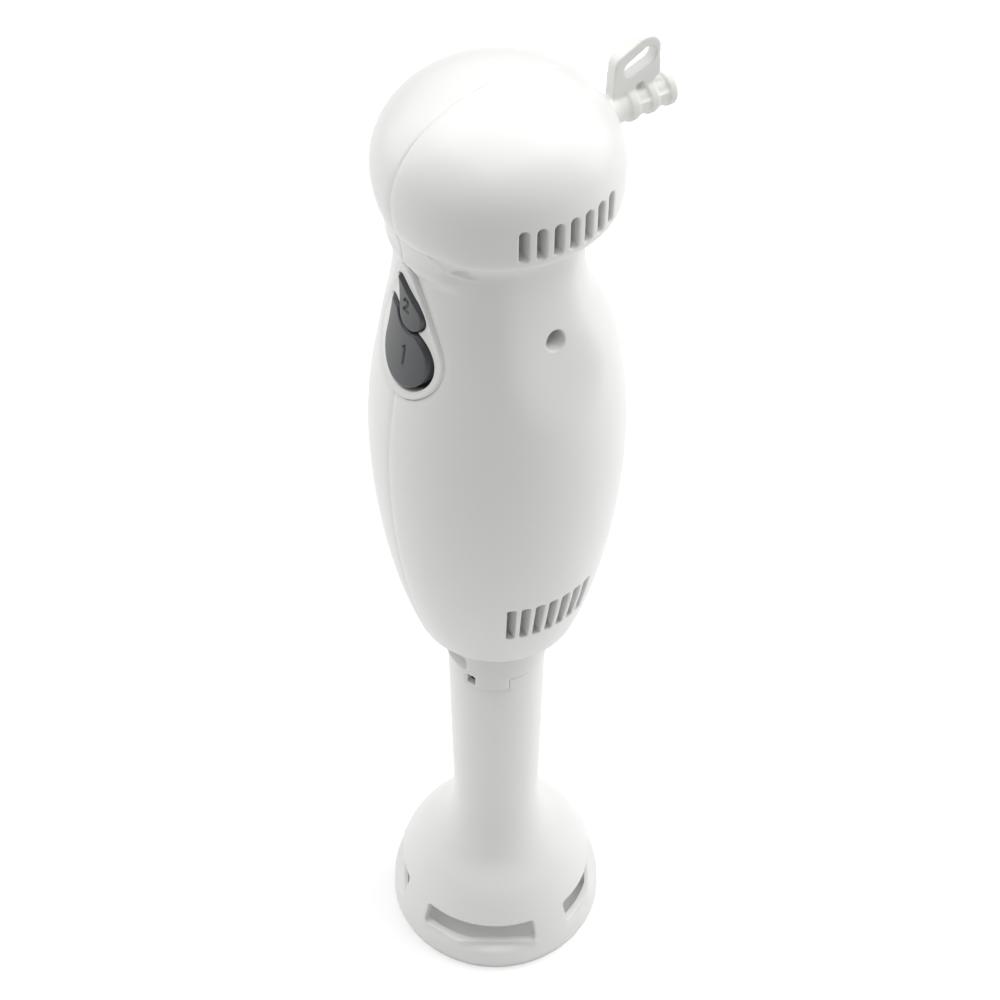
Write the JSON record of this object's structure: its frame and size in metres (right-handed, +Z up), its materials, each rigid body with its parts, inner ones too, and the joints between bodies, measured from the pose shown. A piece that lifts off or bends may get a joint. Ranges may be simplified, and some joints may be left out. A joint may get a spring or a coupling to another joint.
{
  "type": "immersion blender",
  "caption": "Corded hand blender with a mushroom head, waisted grip, two nested buttons, bayonet foot and slotted bell guard.",
  "frame": {"origin": "on the blade axis, in the plane of the bell guard's rim", "axes": "+Z up the blade axis towards the head, -Y towards the buttons, +Y towards the cord outlet, seam of the half shells in the plane X = 0"},
  "size_m": [0.0726, 0.0896, 0.35],
  "materials": {
    "white_abs": "satin moulded ABS",
    "white_gland": "soft matt PVC",
    "button_grey": "soft-touch",
    "steel": "bright",
    "blade_steel": "ground",
    "inner_plastic": "moulded nylon",
    "black_plastic": "moulded",
    "dark_plastic": "glass-filled nylon",
    "board_green": "solder mask",
    "capacitor_yellow": "moulded box",
    "lead_red": "PVC sleeve",
    "laminations": "varnished steel laminations",
    "copper": "enamelled winding wire",
    "brass": "machined",
    "carbon": "pressed carbon",
    "rubber": "moulded"
  },
  "bodies": {
    "housing": {"housing_right": "white_abs", "housing_left": "white_abs", "housing_screw": "steel", "button_bezel": "white_abs", "button_spring_low": "steel", "button_spring_high": "steel", "switch_carrier": "inner_plastic", "microswitch_low": "black_plastic", "microswitch_high": "black_plastic", "circuit_board": "board_green", "capacitor": "capacitor_yellow", "cord_gland": "white_gland", "cord_clamp": "inner_plastic", "clamp_screws": "steel", "motor_leads": "lead_red", "motor_stator": "laminations", "field_coils": "copper", "upper_bracket": "inner_plastic", "lower_bracket": "inner_plastic", "bracket_screws": "steel", "brush_holders": "brass", "carbon_brushes": "carbon", "upper_bearing": "steel", "lower_bearing": "steel", "upper_damper": "rubber", "lower_damper": "rubber", "mouth_collar": "white_abs"},
    "button_low": {"button_low": "button_grey"},
    "button_high": {"button_high": "button_grey"},
    "rotor": {"motor_shaft": "steel", "armature": "laminations", "armature_windings": "copper", "commutator": "brass", "cooling_fan": "dark_plastic", "drive_coupler": "black_plastic"},
    "bayonet": {"bayonet_ring": "dark_plastic"},
    "foot": {"foot": "white_abs", "upper_bushing": "brass", "lower_bushing": "brass", "shaft_seal": "rubber", "seal_clip": "steel"},
    "blade_shaft": {"drive_shaft": "steel", "shaft_tang": "black_plastic", "blade_hub": "inner_plastic", "blade": "blade_steel"}
  },
  "joints": [
    {"name": "motor_spin", "type": "hinge", "parent": "housing", "child": "rotor", "pos_m": [0, 0, 0.222], "axis": [0, 0, 1], "continuous": true},
    {"name": "foot_turn", "type": "hinge", "parent": "housing", "child": "bayonet", "pos_m": [0, 0, 0.14], "axis": [0, 0, 1], "range_deg": [0, 12]},
    {"name": "foot_pull", "type": "slide", "parent": "bayonet", "child": "foot", "axis": [0, 0, -1], "range_m": [0, 0.05]},
    {"name": "shaft_spin", "type": "hinge", "parent": "foot", "child": "blade_shaft", "pos_m": [0, 0, 0.07], "axis": [0, 0, 1], "continuous": true},
    {"name": "press_low", "type": "slide", "parent": "housing", "child": "button_low", "axis": [0, 1, 0], "range_m": [0, 0.0025], "stiffness_N_per_m": 800, "springref_m": -0.001, "deforming": ["button_spring_low"]},
    {"name": "press_high", "type": "slide", "parent": "housing", "child": "button_high", "axis": [0, 1, 0], "range_m": [0, 0.0025], "stiffness_N_per_m": 800, "springref_m": -0.001, "deforming": ["button_spring_high"]}
  ],
  "couplings": [
    {"joint": "shaft_spin", "follows": "motor_spin", "ratio": 1}
  ]
}
